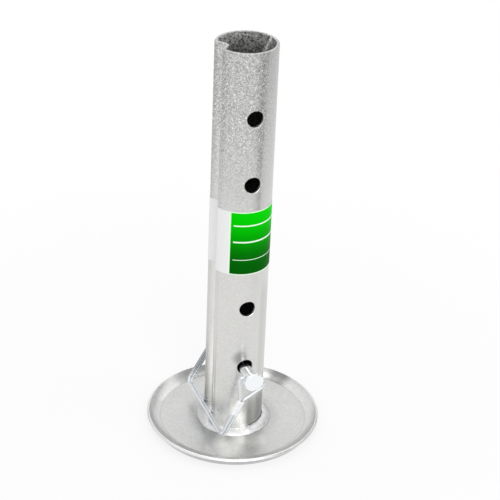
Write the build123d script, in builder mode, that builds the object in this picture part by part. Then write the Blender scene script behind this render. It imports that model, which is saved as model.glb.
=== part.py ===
from build123d import *
import os
from math import acos, atan, cos, degrees, hypot, radians, sin, sqrt, tan

# Drop-leg foot for a trailer jack, in millimetres. The origin is at the middle of
# the foot plate's underside, +Z runs up the leg and the lock pin's head faces -Y.

# Leg tube
tube_outer_diameter = 50.8
tube_wall = 2.5
tube_length = 350.0
tube_edge_break = 0.3

# Seam of the rolled tube, left standing inside as a low rib
seam_angle = 12.0
seam_width = 2.6
seam_height = 0.5

# Key groove, pressed into the tube wall along its whole length on the -X side
groove_depth = 7.7
groove_flank_angle = 52.3
groove_bottom_radius = 3.0
groove_lip_radius = 3.0

# Cross holes, drilled through both walls along Y
hole_diameter = 13.7
hole_edge_break = 0.4
hole_pitch = 57.5
hole_pair_count = 5
first_hole_above_plate = 65.3

# Foot plate, a disc pressed into a shallow dish
plate_thickness = 3.5
plate_diameter = 152.0
plate_height = 9.5
plate_rim_angle = 55.0
plate_bend_radius = 9.5
plate_edge_radius = 0.9

# Weld between tube and plate, laid in short runs
weld_width = 7.0
weld_height = 6.0
weld_groove_height = 8.0
weld_bulge = 0.9
weld_run_count = 4
weld_first_stop_angle = -77.0
weld_end_radius = 1.3
weld_stop_gap = 0.3
weld_tube_gap = 0.01

# Lock pin
pin_diameter = 10.0
pin_rest_gap = 0.15
pin_head_diameter = 16.8
pin_head_thickness = 3.2
pin_head_edge_radius = 0.8
pin_tip_length = 3.0
pin_tip_diameter = 6.4
pin_tip_reach = 6.2
wire_hole_standoff = 17.6
loop_standoff = 14.6

# Bail, one wire bent double and clamped together by a sleeve
wire_diameter = 2.5
wire_running_clearance = 0.1
wire_head_clearance = 0.35
wire_end_gap = 0.8
strand_gap = 0.6
bar_above_weld = 5.4
bail_arm_lean = 2.8
bail_tube_clearance = 0.3
bail_corner_radius = 4.6
upper_leg_spread = 13.4
lower_leg_spread = 15.0
leg_shoulder_radius = 2.8
leg_length = 20.0
leg_join_radius = 3.5
loop_pin_clearance = 0.6
loop_straight = 2.5
loop_neck_length = 10.0
loop_neck_radius = 5.0
loop_end_radius = 6.2

# Sleeve crimped round the two strands of the bail
sleeve_length = 13.5
sleeve_wall = 0.6
sleeve_clearance = 0.05
sleeve_seam = 0.5
crimp_depth = 0.3
crimp_width = 2.4
crimp_inset = 4.0

# Label, a thin film wrapped round the tube between two of its hole pairs
label_thickness = 0.2
label_height = 58.0
label_bottom_above_plate = 156.4
label_tube_gap = 0.06
label_seam_gap = 0.4

# Places worked out from the sizes above
tube_radius = tube_outer_diameter / 2
wire_radius = wire_diameter / 2
pin_radius = pin_diameter / 2
hole_heights = [
    plate_thickness + first_hole_above_plate + hole_pitch * row
    for row in range(hole_pair_count)
]
pin_height = hole_heights[0] - hole_diameter / 2 + pin_radius + pin_rest_gap
wire_hole_y = -(tube_radius + wire_hole_standoff)
loop_reach = tube_outer_diameter + wire_hole_standoff + loop_standoff
strand_offset = wire_radius + strand_gap / 2


def outline_leg():
    """The tube's outer outline: a circle with the V of the key groove cut in."""
    half_angle = radians(groove_flank_angle)
    bottom_x = -(tube_radius - groove_depth)
    apex_x = bottom_x + groove_bottom_radius * (1 / sin(half_angle) - 1)
    reach = tube_outer_diameter
    with BuildSketch() as outline:
        Circle(tube_radius)
        with BuildLine():
            Polyline(
                (apex_x, 0),
                (apex_x - reach * cos(half_angle), reach * sin(half_angle)),
                (apex_x - reach * cos(half_angle), -reach * sin(half_angle)),
                close=True,
            )
        make_face(mode=Mode.SUBTRACT)
        corners = outline.vertices().sort_by(Axis.X)
        fillet(corners[:2], groove_lip_radius)
        fillet(outline.vertices().sort_by(lambda v: abs(v.Y))[:1], groove_bottom_radius)
    return outline.sketch


leg_outline = outline_leg()
lip_x = leg_outline.bounding_box().min.X

# Leg tube: the outline less its own inward offset, drilled through five times, with
# the rolled tube's seam as a rib on the inside
with BuildPart() as leg_tube:
    with BuildSketch(Plane.XY.offset(plate_thickness)):
        add(leg_outline)
        offset(amount=-tube_wall, kind=Kind.ARC, mode=Mode.SUBTRACT)
    extrude(amount=tube_length)
    top_edges = leg_tube.faces().sort_by(Axis.Z)[-1].edges()
    chamfer(top_edges, tube_edge_break)
    with BuildSketch(Plane.XZ):
        with Locations(*[(0, height) for height in hole_heights]):
            Circle(hole_diameter / 2)
    extrude(amount=tube_outer_diameter, both=True, mode=Mode.SUBTRACT)
    outer_wall = leg_tube.faces().sort_by(SortBy.AREA)[-1]
    hole_edges = ShapeList([wire.edges()[0] for wire in outer_wall.inner_wires()])
    chamfer(hole_edges, hole_edge_break)
    with BuildSketch(Plane.XY.offset(plate_thickness)):
        with PolarLocations(tube_radius - tube_wall, 1, start_angle=seam_angle):
            Ellipse(seam_height, seam_width / 2)
    extrude(amount=tube_length - tube_edge_break)

# Foot plate: the dish's section, turned about the middle
rim_angle = radians(plate_rim_angle)
rim_top = plate_height
rim_foot = rim_top - plate_thickness * cos(rim_angle)
floor_radius = plate_diameter / 2 - rim_foot / tan(rim_angle)
rim_lean = plate_thickness * sin(rim_angle)
bend_setback = plate_thickness * tan(rim_angle / 2)
with BuildPart() as foot_plate:
    with BuildSketch(Plane.XZ) as plate_section:
        with BuildLine():
            Polyline(
                (0, 0),
                (floor_radius, 0),
                (plate_diameter / 2, rim_foot),
                (plate_diameter / 2 - rim_lean, rim_top),
                (floor_radius - bend_setback, plate_thickness),
                (0, plate_thickness),
                close=True,
            )
        make_face()
        by_radius = plate_section.vertices().sort_by(Axis.X)
        fillet(by_radius[-2:], plate_edge_radius)
        floor_corners = by_radius[2:4].sort_by(Axis.Z)
        fillet(floor_corners[0], plate_bend_radius + plate_thickness)
        fillet(floor_corners[1], plate_bend_radius)
    revolve(axis=Axis.Z)

# Weld bead: a bulging fillet turned round the tube, which also fills the foot of
# the key groove, cut where one run stops and the next one starts
with BuildPart() as filled_leg:
    with BuildSketch(Plane.XY.offset(plate_thickness)):
        add(leg_outline)
        offset(amount=weld_tube_gap, kind=Kind.ARC)
    extrude(amount=2 * weld_groove_height)

weld_toe = tube_radius + weld_width
weld_inner = tube_radius - groove_depth
weld_foot = plate_thickness
weld_middle = (
    tube_radius + weld_width / 2 + weld_bulge,
    weld_foot + weld_height / 2 + weld_bulge,
)
run_angle = 360 / weld_run_count
stop_angle = degrees(weld_stop_gap / weld_toe)
with BuildPart() as weld_bead:
    for run in range(weld_run_count):
        start = weld_first_stop_angle + run * run_angle
        with BuildSketch(Plane.XZ.rotated((0, 0, start))):
            with BuildLine():
                Polyline(
                    (tube_radius, weld_foot + weld_height),
                    (weld_inner, weld_foot + weld_groove_height),
                    (weld_inner, weld_foot),
                    (weld_toe, weld_foot),
                )
                ThreePointArc(
                    (weld_toe, weld_foot),
                    weld_middle,
                    (tube_radius, weld_foot + weld_height),
                )
            make_face()
        revolve(axis=Axis.Z, revolution_arc=run_angle - stop_angle)
    run_ends = weld_bead.edges().filter_by(GeomType.CIRCLE)
    run_ends = run_ends.filter_by(lambda edge: abs(edge.normal().Z) < 0.5)
    fillet(run_ends, weld_end_radius)
    add(filled_leg.part, mode=Mode.SUBTRACT)

# Bail frame: x runs along the pin, y down the bail's arms, z along the wire hole.
# Its depth and tilt bring the bar of the bail to rest on the lips of the key groove,
# a little way above the weld.
bar_out = -lip_x + bail_tube_clearance + wire_radius
bar_height = plate_thickness + weld_height + bar_above_weld + wire_radius
bar_reach = hypot(bar_out, pin_height - bar_height)
bail_depth = sqrt(bar_reach**2 - strand_offset**2)
bail_tilt = acos(bar_out / bar_reach) - atan(strand_offset / bail_depth)
bail_frame = Plane(
    origin=(0, wire_hole_y, pin_height),
    x_dir=(0, 1, 0),
    z_dir=(-sin(bail_tilt), 0, cos(bail_tilt)),
)

# Lock pin: a turned shank with a flat head, drilled across for the bail's ends
head_back = wire_hole_y - wire_radius - wire_head_clearance
head_face = head_back - pin_head_thickness
tip_end = wire_hole_y + loop_reach + wire_radius + pin_tip_reach
with BuildPart() as lock_pin:
    with BuildSketch(Plane.YZ.shift_origin((0, 0, pin_height))) as pin_section:
        with BuildLine():
            Polyline(
                (head_face, 0),
                (head_face, pin_head_diameter / 2),
                (head_back, pin_head_diameter / 2),
                (head_back, pin_radius),
                (tip_end - pin_tip_length, pin_radius),
                (tip_end, pin_tip_diameter / 2),
                (tip_end, 0),
                close=True,
            )
        make_face()
        rim_corners = pin_section.vertices().group_by(Axis.Y)[-1]
        fillet(rim_corners, pin_head_edge_radius)
    revolve(axis=Axis((0, 0, pin_height), (0, 1, 0)))
    with Locations(bail_frame):
        Cylinder(
            wire_radius + wire_running_clearance,
            2 * pin_diameter,
            mode=Mode.SUBTRACT,
        )


def bent_wire(points, radii):
    """Straight runs joined by tangent bends, with one radius for each inner point."""
    start = Vector(points[0])
    for before, corner, after, radius in zip(points, points[1:], points[2:], radii):
        corner = Vector(corner)
        back = (Vector(before) - corner).normalized()
        ahead = (Vector(after) - corner).normalized()
        half_turn = radians(180 - back.get_angle(ahead)) / 2
        setback = radius * tan(half_turn)
        rise = radius / cos(half_turn) - radius
        bend_start = corner + back * setback
        bend_end = corner + ahead * setback
        Line(start, bend_start)
        ThreePointArc(bend_start, corner + (back + ahead).normalized() * rise, bend_end)
        start = bend_end
    Line(start, Vector(points[-1]))


# Bail wire: from the pin's cross hole down one arm, along the bar, up the far arm,
# round the pin's tip and back the same way beside itself
loop_offset = pin_radius + loop_pin_clearance + wire_radius


def half_route(leg_spread):
    """The points of one strand, from the pin's cross hole to the end of the far loop."""
    return [
        (0, 0, wire_end_gap / 2),
        (0, 0, leg_spread),
        (-bail_arm_lean * leg_length / bail_depth, leg_length, strand_offset),
        (-bail_arm_lean, bail_depth, strand_offset),
        (loop_reach + bail_arm_lean, bail_depth, strand_offset),
        (loop_reach, loop_straight + loop_neck_length, strand_offset),
        (loop_reach, loop_straight, loop_offset),
        (loop_reach, -loop_offset, loop_offset),
    ]


half_radii = [
    leg_shoulder_radius,
    leg_join_radius,
    bail_corner_radius,
    bail_corner_radius,
    loop_neck_radius,
    loop_neck_radius,
    loop_end_radius,
]
lower_half = [(x, y, -z) for x, y, z in reversed(half_route(lower_leg_spread))]
whole_route = half_route(upper_leg_spread) + lower_half
wire_points = [bail_frame.from_local_coords(point) for point in whole_route]
with BuildPart() as bail_wire:
    with BuildLine() as wire_route:
        bent_wire(wire_points, half_radii + half_radii[::-1])
    wire_path = wire_route.wire()
    with BuildSketch(Plane(origin=wire_path @ 0, z_dir=wire_path % 0)):
        Circle(wire_radius)
    sweep(path=wire_path)

# Sleeve: sheet wrapped round both strands, its seam on the tube side, with two
# pressed grooves that grip the wire
arm_run = bail_frame.from_local_coords(Vector(-bail_arm_lean, bail_depth, 0)) - bail_frame.origin
leg_splay = atan((max(upper_leg_spread, lower_leg_spread) - strand_offset) / leg_length)
sleeve_start = leg_length + leg_join_radius * tan(leg_splay / 2)
sleeve_frame = Plane(
    origin=bail_frame.origin + arm_run * (sleeve_start / bail_depth),
    x_dir=bail_frame.z_dir,
    z_dir=arm_run,
)
sleeve_bore_width = 2 * (strand_offset + wire_radius + sleeve_clearance)
sleeve_bore_depth = 2 * (wire_radius + sleeve_clearance)
crimp_radius = (crimp_width**2 / 4 + crimp_depth**2) / (2 * crimp_depth)
crimp_reach = sleeve_bore_depth / 2 + sleeve_wall - crimp_depth + crimp_radius
crimp_places = [
    (0, side * crimp_reach, along)
    for side in (-1, 1)
    for along in (crimp_inset, sleeve_length - crimp_inset)
]
with BuildPart() as wire_sleeve:
    with BuildSketch(sleeve_frame):
        SlotOverall(sleeve_bore_width + 2 * sleeve_wall, sleeve_bore_depth + 2 * sleeve_wall)
        SlotOverall(sleeve_bore_width, sleeve_bore_depth, mode=Mode.SUBTRACT)
        with Locations((0, sleeve_bore_depth / 2)):
            Rectangle(sleeve_seam, sleeve_bore_depth, mode=Mode.SUBTRACT)
    extrude(amount=sleeve_length)
    with Locations(sleeve_frame):
        with Locations(*crimp_places):
            Cylinder(
                crimp_radius,
                2 * sleeve_bore_width,
                rotation=(0, 90, 0),
                mode=Mode.SUBTRACT,
            )

# Label: a film wrapped round the tube, down into the key groove and out again
with BuildPart() as label_film:
    with BuildSketch(Plane.XY.offset(plate_thickness + label_bottom_above_plate)):
        with BuildSketch():
            add(leg_outline)
            offset(amount=label_tube_gap + label_thickness, kind=Kind.ARC)
        with BuildSketch(mode=Mode.SUBTRACT):
            add(leg_outline)
            offset(amount=label_tube_gap, kind=Kind.ARC)
        with Locations((tube_radius, 0)):
            Rectangle(tube_wall, label_seam_gap, mode=Mode.SUBTRACT)
    extrude(amount=label_height)

# One file for each piece
os.makedirs("parts", exist_ok=True)
leg_tube.part.label = "leg_tube"
export_step(leg_tube.part, "parts/leg_tube.step")
foot_plate.part.label = "foot_plate"
export_step(foot_plate.part, "parts/foot_plate.step")
weld_bead.part.label = "weld_bead"
export_step(weld_bead.part, "parts/weld_bead.step")
label_film.part.label = "label_film"
export_step(label_film.part, "parts/label_film.step")
lock_pin.part.label = "lock_pin"
export_step(lock_pin.part, "parts/lock_pin.step")
bail_wire.part.label = "bail_wire"
export_step(bail_wire.part, "parts/bail_wire.step")
wire_sleeve.part.label = "wire_sleeve"
export_step(wire_sleeve.part, "parts/wire_sleeve.step")

print("bail tilt below level, degrees", round(degrees(bail_tilt), 3))
print("wire hole", tuple(round(value, 4) for value in bail_frame.origin))
print("wire hole axis", tuple(round(value, 6) for value in bail_frame.z_dir))
print("hole heights", [round(height, 3) for height in hole_heights])
print("wire length", round(wire_path.length, 2))
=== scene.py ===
# %% [markdown]
# This lesson dresses the drop leg of a trailer jack: a zinc-coated tube on a dished
# foot plate, with a lock pin, a wire bail and a printed label. The solids come
# ready-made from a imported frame, in metres, with +Z up the leg.

from math import atan2, cos, degrees, pi, radians, sin, tau

import bmesh
import bpy
from mathutils import Matrix, Vector
from mathutils.bvhtree import BVHTree


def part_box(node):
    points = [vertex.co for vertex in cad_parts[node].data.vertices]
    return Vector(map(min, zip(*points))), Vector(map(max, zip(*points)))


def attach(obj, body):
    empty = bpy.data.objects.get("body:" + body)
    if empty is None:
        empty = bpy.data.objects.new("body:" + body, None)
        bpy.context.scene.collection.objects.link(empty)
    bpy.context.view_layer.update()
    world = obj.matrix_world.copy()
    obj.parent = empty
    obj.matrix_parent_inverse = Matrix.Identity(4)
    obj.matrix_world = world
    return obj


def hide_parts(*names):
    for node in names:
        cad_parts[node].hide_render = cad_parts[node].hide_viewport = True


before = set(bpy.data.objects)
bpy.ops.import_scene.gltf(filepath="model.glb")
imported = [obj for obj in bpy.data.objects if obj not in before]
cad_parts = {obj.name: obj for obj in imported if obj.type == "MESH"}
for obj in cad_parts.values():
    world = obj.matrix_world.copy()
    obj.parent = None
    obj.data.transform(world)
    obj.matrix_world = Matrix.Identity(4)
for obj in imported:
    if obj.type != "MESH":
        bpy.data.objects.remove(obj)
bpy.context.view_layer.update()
scene = bpy.context.scene

# %% [markdown]
# The camera stands where the photographer stood. Its place could be set by eye, but
# here it is given by four readings that a photographer would use: how far round the
# leg, how high, how far away and how much the camera was tilted. The aim point is on
# the leg, a little under half its height, and the lens is a long one, so the tube
# narrows only slightly towards its foot.

# %% Camera
view_azimuth = radians(-21.8)
view_elevation = radians(29.138)
view_distance = 1.26945
view_roll = radians(2.488)
view_aim = Vector((0.00851, -0.00340, 0.16976))
lens_length = 109.95
sensor_width = 36.0

view_side = Vector((cos(view_azimuth), sin(view_azimuth), 0))
view_ahead = Vector((
    -sin(view_azimuth) * cos(view_elevation),
    cos(view_azimuth) * cos(view_elevation),
    -sin(view_elevation),
))
view_above = view_side.cross(view_ahead)
camera_right = cos(view_roll) * view_side + sin(view_roll) * view_above
camera_up = -sin(view_roll) * view_side + cos(view_roll) * view_above
camera_data = bpy.data.cameras.new("photo_camera")
camera_data.lens = lens_length
camera_data.sensor_width = sensor_width
camera = bpy.data.objects.new("photo_camera", camera_data)
scene.collection.objects.link(camera)
turn = Matrix((camera_right, camera_up, -view_ahead)).transposed()
camera.matrix_world = Matrix.Translation(view_aim - view_distance * view_ahead) @ turn.to_4x4()
scene.camera = camera
print("camera at", [round(value, 3) for value in camera.matrix_world.translation])

# %% [markdown]
# The studio is a white sweep. The world is white to the camera and to reflections, so
# bare metal mirrors the same backdrop that the picture shows, and it is dimmer as a
# light, so nothing is overexposed. More light could make the backdrop white too, but
# it would also burn out the pale zinc, and the colours would no longer be their own.

# %% World and view settings
backdrop_white = (1.0, 1.0, 1.0, 1.0)
world_light = 0.78

scene.view_settings.view_transform = "Standard"
world = bpy.data.worlds.new("white_studio")
scene.world = world
world.use_nodes = True
world_nodes = world.node_tree.nodes
world_links = world.node_tree.links
world_nodes.clear()
light_path = world_nodes.new("ShaderNodeLightPath")
seen_or_mirrored = world_nodes.new("ShaderNodeMath")
seen_or_mirrored.operation = "ADD"
seen_any = world_nodes.new("ShaderNodeMath")
seen_any.operation = "ADD"
seen_any.use_clamp = True
backdrop = world_nodes.new("ShaderNodeBackground")
backdrop.inputs["Color"].default_value = backdrop_white
lighting = world_nodes.new("ShaderNodeBackground")
lighting.inputs["Color"].default_value = backdrop_white
lighting.inputs["Strength"].default_value = world_light
world_mix = world_nodes.new("ShaderNodeMixShader")
world_output = world_nodes.new("ShaderNodeOutputWorld")
world_links.new(light_path.outputs["Is Camera Ray"], seen_or_mirrored.inputs[0])
world_links.new(light_path.outputs["Is Glossy Ray"], seen_or_mirrored.inputs[1])
world_links.new(seen_or_mirrored.outputs[0], seen_any.inputs[0])
world_links.new(light_path.outputs["Is Transmission Ray"], seen_any.inputs[1])
world_links.new(seen_any.outputs[0], world_mix.inputs["Fac"])
world_links.new(lighting.outputs[0], world_mix.inputs[1])
world_links.new(backdrop.outputs[0], world_mix.inputs[2])
world_links.new(world_mix.outputs[0], world_output.inputs["Surface"])
print("world lights at", world_light, "and shows as white")

# %% [markdown]
# A finish made of nodes is mostly sums of masks, and nodes written out one by one are
# long to read. Small helpers keep them short: one starts a material, one adds a Math
# node, one a smooth step, and the others read where the shaded point lies on its piece.

# %% Node helpers
def start_material(name):
    """A material that holds one Principled shader; returns it with its node tree."""
    material = bpy.data.materials.new(name)
    material.use_nodes = True
    return material, material.node_tree, material.node_tree.nodes["Principled BSDF"]


def add_math(tree, operation, first, second=0.0, clamp=False):
    """A Math node; each operand is a number or the socket that feeds it."""
    node = tree.nodes.new("ShaderNodeMath")
    node.operation = operation
    node.use_clamp = clamp
    for socket, operand in zip(node.inputs, (first, second)):
        if isinstance(operand, (int, float)):
            socket.default_value = operand
        else:
            tree.links.new(operand, socket)
    return node.outputs[0]


def add_ramp(tree, value, low, high, to_low=0.0, to_high=1.0):
    """A smooth step from to_low to to_high as value goes from low to high."""
    node = tree.nodes.new("ShaderNodeMapRange")
    node.interpolation_type = "SMOOTHSTEP"
    for name, number in zip(("From Min", "From Max", "To Min", "To Max"), (low, high, to_low, to_high)):
        node.inputs[name].default_value = number
    tree.links.new(value, node.inputs["Value"])
    return node.outputs["Result"]


def add_distance(tree, first, second):
    """How far apart two numbers are, such as an angle from the middle of a mark."""
    return add_math(tree, "ABSOLUTE", add_math(tree, "SUBTRACT", first, second))


def object_place(tree):
    """Where the shaded point lies in its object's own space, in metres."""
    return tree.nodes.new("ShaderNodeTexCoord").outputs["Object"]


def split_axes(tree, vector):
    """The parts of a vector, to be picked by the names X, Y and Z."""
    split = tree.nodes.new("ShaderNodeSeparateXYZ")
    tree.links.new(vector, split.inputs[0])
    return split.outputs


def add_length(tree, first, second):
    """The length of a flat vector from its two parts, such as a radius from X and Y."""
    first_square = add_math(tree, "MULTIPLY", first, first)
    second_square = add_math(tree, "MULTIPLY", second, second)
    return add_math(tree, "SQRT", add_math(tree, "ADD", first_square, second_square))


print("node helpers ready")

# %% [markdown]
# The floor is a plain pale sheet. In the photograph the leg stands on pure white with
# no visible shadow edge, so most of what the camera sees of the floor is its own white
# and only a small share is lit paint, which keeps a faint shadow under the plate. Away
# from the leg that share falls to nothing, and the floor runs into the white backdrop.

# %% Floor
floor_half_size = 6.0
floor_segments = 8
floor_color = (0.86, 0.86, 0.86, 1.0)
floor_white_near = 0.78
floor_white_near_radius = 0.12
floor_white_far_radius = 0.60

floor_mesh = bpy.data.meshes.new("floor")
floor_shape = bmesh.new()
bmesh.ops.create_grid(
    floor_shape, x_segments=floor_segments, y_segments=floor_segments, size=floor_half_size
)
floor_shape.to_mesh(floor_mesh)
floor_shape.free()
floor = bpy.data.objects.new("floor", floor_mesh)
scene.collection.objects.link(floor)
floor_material, floor_tree, floor_shader = start_material("floor_paint")
floor_shader.inputs["Base Color"].default_value = floor_color
floor_shader.inputs["Roughness"].default_value = 1.0
floor_shader.inputs["Specular IOR Level"].default_value = 0.0
floor_white = floor_tree.nodes.new("ShaderNodeEmission")
floor_white.inputs["Color"].default_value = backdrop_white
floor_path = floor_tree.nodes.new("ShaderNodeLightPath")
floor_seen = add_math(
    floor_tree,
    "ADD",
    floor_path.outputs["Is Camera Ray"],
    floor_path.outputs["Is Glossy Ray"],
    clamp=True,
)
floor_axes = split_axes(floor_tree, object_place(floor_tree))
floor_radius = add_length(floor_tree, floor_axes["X"], floor_axes["Y"])
floor_own_white = add_ramp(
    floor_tree,
    floor_radius,
    floor_white_near_radius,
    floor_white_far_radius,
    floor_white_near,
    1.0,
)
floor_share = add_math(floor_tree, "MULTIPLY", floor_seen, floor_own_white)
floor_mix = floor_tree.nodes.new("ShaderNodeMixShader")
floor_tree.links.new(floor_share, floor_mix.inputs["Fac"])
floor_tree.links.new(floor_shader.outputs[0], floor_mix.inputs[1])
floor_tree.links.new(floor_white.outputs[0], floor_mix.inputs[2])
floor_tree.links.new(floor_mix.outputs[0], floor_tree.nodes["Material Output"].inputs["Surface"])
floor_mesh.materials.append(floor_material)
print("floor", 2 * floor_half_size, "m wide")

# %% [markdown]
# Three soft lamps light the metal: a key high in front, a wide fill on the right and a
# strip overhead. Round metal shows its form mostly by what it mirrors. More lamps could
# shape it too, but they would wash out the grain, so four grey cards stand out of the
# picture instead, as a photographer would place them. The near one on the right gives
# the soft dark band down that side of the tube, and a paler one faces it on the left.
# A low one behind is the horizon for the small bright pieces, and a dark one stands high
# on the right. The cards are seen in reflections only.

# %% Lamps and grey cards
lamp_rows = [
    ("key_lamp", (-0.3, -1.65, 1.6), 1.1, 1.1, 11.0),
    ("fill_lamp", (1.5, -0.9, 0.9), 1.0, 1.2, 4.0),
    ("top_lamp", (0.1, 0.5, 1.9), 1.4, 0.6, 5.0),
]
lamp_aim = Vector((0, 0, 0.16))


def face_towards(thing, target):
    """Turns an object so that its local -Z points at the target."""
    direction = target - thing.location
    thing.rotation_euler = direction.to_track_quat("-Z", "Y").to_euler()


for lamp_name, lamp_place, lamp_width, lamp_height, lamp_watts in lamp_rows:
    lamp_data = bpy.data.lights.new(lamp_name, "AREA")
    lamp_data.shape = "RECTANGLE"
    lamp_data.size = lamp_width
    lamp_data.size_y = lamp_height
    lamp_data.energy = lamp_watts
    lamp = bpy.data.objects.new(lamp_name, lamp_data)
    lamp.location = lamp_place
    face_towards(lamp, lamp_aim)
    scene.collection.objects.link(lamp)


card_steps = 24


def stand_card(name, from_bearing, to_bearing, distance, low, high, grey):
    """A curved grey card; its bearings, in degrees, run right from the camera's side."""
    card_mesh = bpy.data.meshes.new(name)
    shape = bmesh.new()
    rows = []
    for step in range(card_steps + 1):
        bearing = radians(from_bearing + (to_bearing - from_bearing) * step / card_steps)
        heading = view_azimuth + bearing
        place = Vector((distance * sin(heading), -distance * cos(heading), 0))
        rows.append([shape.verts.new(place + Vector((0, 0, height))) for height in (low, high)])
    for this_row, next_row in zip(rows, rows[1:]):
        shape.faces.new((this_row[0], next_row[0], next_row[1], this_row[1]))
    shape.to_mesh(card_mesh)
    shape.free()
    card = bpy.data.objects.new(name, card_mesh)
    material, tree, shader = start_material(name + "_paint")
    glow = tree.nodes.new("ShaderNodeEmission")
    glow.inputs["Color"].default_value = (grey, grey, grey, 1)
    tree.links.new(glow.outputs[0], tree.nodes["Material Output"].inputs["Surface"])
    tree.nodes.remove(shader)
    card_mesh.materials.append(material)
    card.visible_camera = False
    card.visible_diffuse = False
    card.visible_shadow = False
    scene.collection.objects.link(card)


card_rows = [
    ("right_card", 54, 80, 0.40, 0.0, 0.40, 0.42),
    ("left_card", -115, -76, 0.45, 0.0, 0.45, 0.80),
    ("horizon_card", 60, 300, 1.10, 0.0, 0.24, 0.45),
    ("high_right_card", 58, 150, 1.20, 0.50, 0.78, 0.16),
]
for card_row in card_rows:
    stand_card(*card_row)
print(len(lamp_rows), "lamps and", len(card_rows), "cards")

# %% [markdown]
# An effect that several finishes share is built once, as a node group, and each material
# sets it in its own way. Its nodes could be copied into every material, but then each
# change would have to be made several times. One helper opens a group from a list of
# sockets, and one multiplies a colour by a number, which both groups below do.

# %% Group helpers
def new_group(name, inputs, outputs):
    """An empty shader node group with named float or colour sockets."""
    group = bpy.data.node_groups.new(name, "ShaderNodeTree")
    for label, kind, value in inputs:
        socket = group.interface.new_socket(label, in_out="INPUT", socket_type=kind)
        socket.default_value = value
    for label, kind in outputs:
        group.interface.new_socket(label, in_out="OUTPUT", socket_type=kind)
    entry = group.nodes.new("NodeGroupInput")
    leave = group.nodes.new("NodeGroupOutput")
    return group, entry.outputs, leave.inputs


def scale_color(tree, color, gain):
    """A colour times the number on a socket; the colour is a value or a socket."""
    scaled = tree.nodes.new("ShaderNodeVectorMath")
    scaled.operation = "SCALE"
    if isinstance(color, tuple):
        scaled.inputs[0].default_value = color[:3]
    else:
        tree.links.new(color, scaled.inputs[0])
    tree.links.new(gain, scaled.inputs["Scale"])
    return scaled.outputs[0]


print("group helpers ready")

# %% [markdown]
# Zinc from a hot bath sets in small crystals, the spangle, and each one mirrors the
# light a little differently. A flat grey would look like paint. The grain here is one
# Voronoi pattern with a random tone for each cell, broken up by noise, and the same
# cells drive the tone, the roughness and the bump, so they agree. It is a group
# because tube, plate and weld all carry it with their own values.

# %% Zinc grain group
breakup_detail = 3.0
breakup_share = 0.8
sparkle_from = 0.88
sparkle_full = 0.95

grain_group, grain_in, grain_out = new_group(
    "zinc_grain",
    [
        ("Tint", "NodeSocketColor", (0.6, 0.6, 0.6, 1.0)),
        ("Amount", "NodeSocketFloat", 1.0),
        ("Cells per Metre", "NodeSocketFloat", 700.0),
        ("Contrast", "NodeSocketFloat", 0.3),
        ("Sparkle", "NodeSocketFloat", 0.0),
        ("Roughness", "NodeSocketFloat", 0.35),
        ("Roughness Spread", "NodeSocketFloat", 0.15),
    ],
    [
        ("Color", "NodeSocketColor"),
        ("Roughness", "NodeSocketFloat"),
        ("Height", "NodeSocketFloat"),
    ],
)
grain_place = object_place(grain_group)
cells = grain_group.nodes.new("ShaderNodeTexVoronoi")
cells.feature = "F1"
grain_group.links.new(grain_place, cells.inputs["Vector"])
grain_group.links.new(grain_in["Cells per Metre"], cells.inputs["Scale"])
cell_tone = grain_group.nodes.new("ShaderNodeSeparateColor")
grain_group.links.new(cells.outputs["Color"], cell_tone.inputs[0])
breakup = grain_group.nodes.new("ShaderNodeTexNoise")
breakup.inputs["Detail"].default_value = breakup_detail
grain_group.links.new(grain_place, breakup.inputs["Vector"])
breakup_scale = add_math(grain_group, "MULTIPLY", grain_in["Cells per Metre"], breakup_share)
grain_group.links.new(breakup_scale, breakup.inputs["Scale"])
# Both run from 0 to 1, so their sum less 1 swings about zero.
tone = add_math(grain_group, "ADD", cell_tone.outputs[0], breakup.outputs["Fac"])
tone = add_math(grain_group, "SUBTRACT", tone, 1.0)
strength = add_math(grain_group, "MULTIPLY", grain_in["Amount"], grain_in["Contrast"])
tone_shift = add_math(grain_group, "MULTIPLY", tone, strength)
bright_cell = add_ramp(grain_group, cell_tone.outputs[1], sparkle_from, sparkle_full)
sparkle = add_math(grain_group, "MULTIPLY", bright_cell, grain_in["Sparkle"])
sparkle = add_math(grain_group, "MULTIPLY", sparkle, grain_in["Amount"])
tone_shift = add_math(grain_group, "ADD", tone_shift, sparkle)
tone_gain = add_math(grain_group, "ADD", tone_shift, 1.0)
grain_group.links.new(scale_color(grain_group, grain_in["Tint"], tone_gain), grain_out["Color"])
rough_shift = add_math(grain_group, "MULTIPLY", tone, grain_in["Roughness Spread"])
rough_shift = add_math(grain_group, "MULTIPLY", rough_shift, grain_in["Amount"])
rough = add_math(grain_group, "ADD", rough_shift, grain_in["Roughness"], clamp=True)
grain_group.links.new(rough, grain_out["Roughness"])
dimple = add_math(grain_group, "ADD", cells.outputs["Distance"], breakup.outputs["Fac"])
dimple = add_math(grain_group, "MULTIPLY", dimple, grain_in["Amount"])
grain_group.links.new(dimple, grain_out["Height"])
print("group", grain_group.name)

# %% [markdown]
# Handling leaves a zinc coat blotched: large soft patches a little darker or lighter,
# where the coat is thicker or has been wiped. One slow noise does that. It is a group
# of its own so that the smooth bright parts can use it without the grain.

# %% Blotch group
patch_detail = 4.0
patch_roughness = 0.6
noise_middle = 0.5

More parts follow.
